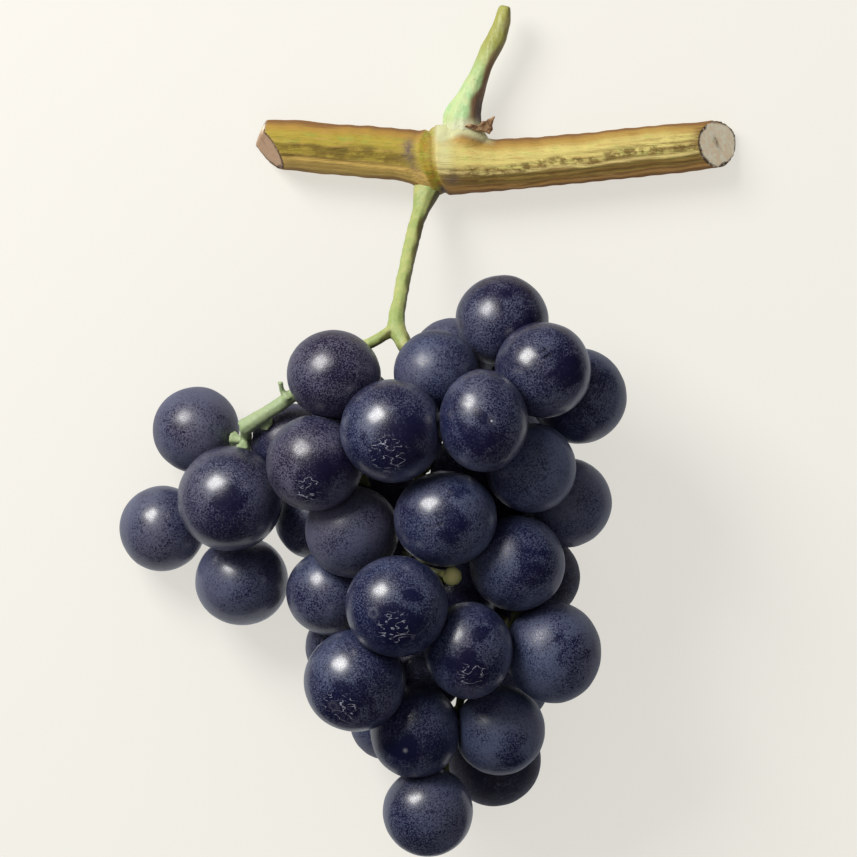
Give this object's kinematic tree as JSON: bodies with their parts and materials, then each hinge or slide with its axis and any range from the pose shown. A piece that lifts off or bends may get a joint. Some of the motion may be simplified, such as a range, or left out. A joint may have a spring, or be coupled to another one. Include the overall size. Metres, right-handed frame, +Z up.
{
  "type": "bunch of grapes",
  "caption": "Bunch of round dark blue grapes on its green stem, with the cut piece of vine cane and leaf stalk it grew on, lying on its back.",
  "frame": {"origin": "on the surface it lies on, below the middle of the whole bunch", "axes": "+Y from the bunch's tip towards the cane, +X along the cane, +Z up from the surface"},
  "size_m": [0.1241, 0.1708, 0.0614],
  "materials": {
    "berry_skin": "satin",
    "stem_green": "satin",
    "cane_bark": "matte",
    "leaf_stalk": "satin",
    "bud_scale": "matte"
  },
  "bodies": {
    "root": {"berry_01": "berry_skin", "berry_02": "berry_skin", "berry_03": "berry_skin", "berry_04": "berry_skin", "berry_05": "berry_skin", "berry_06": "berry_skin", "berry_07": "berry_skin", "berry_08": "berry_skin", "berry_09": "berry_skin", "berry_10": "berry_skin", "berry_11": "berry_skin", "berry_12": "berry_skin", "berry_13": "berry_skin", "berry_14": "berry_skin", "berry_15": "berry_skin", "berry_16": "berry_skin", "berry_17": "berry_skin", "berry_18": "berry_skin", "berry_19": "berry_skin", "berry_20": "berry_skin", "berry_21": "berry_skin", "berry_22": "berry_skin", "berry_23": "berry_skin", "berry_24": "berry_skin", "berry_25": "berry_skin", "berry_26": "berry_skin", "berry_27": "berry_skin", "berry_28": "berry_skin", "berry_29": "berry_skin", "berry_30": "berry_skin", "berry_31": "berry_skin", "berry_32": "berry_skin", "berry_33": "berry_skin", "berry_34": "berry_skin", "berry_35": "berry_skin", "berry_36": "berry_skin", "berry_37": "berry_skin", "berry_38": "berry_skin", "berry_39": "berry_skin", "berry_40": "berry_skin", "berry_41": "berry_skin", "berry_42": "berry_skin", "berry_43": "berry_skin", "berry_44": "berry_skin", "bunch_stem": "stem_green", "cane": "cane_bark", "leaf_stalk": "leaf_stalk", "bud_scale": "bud_scale"}
  },
  "joints": []
}
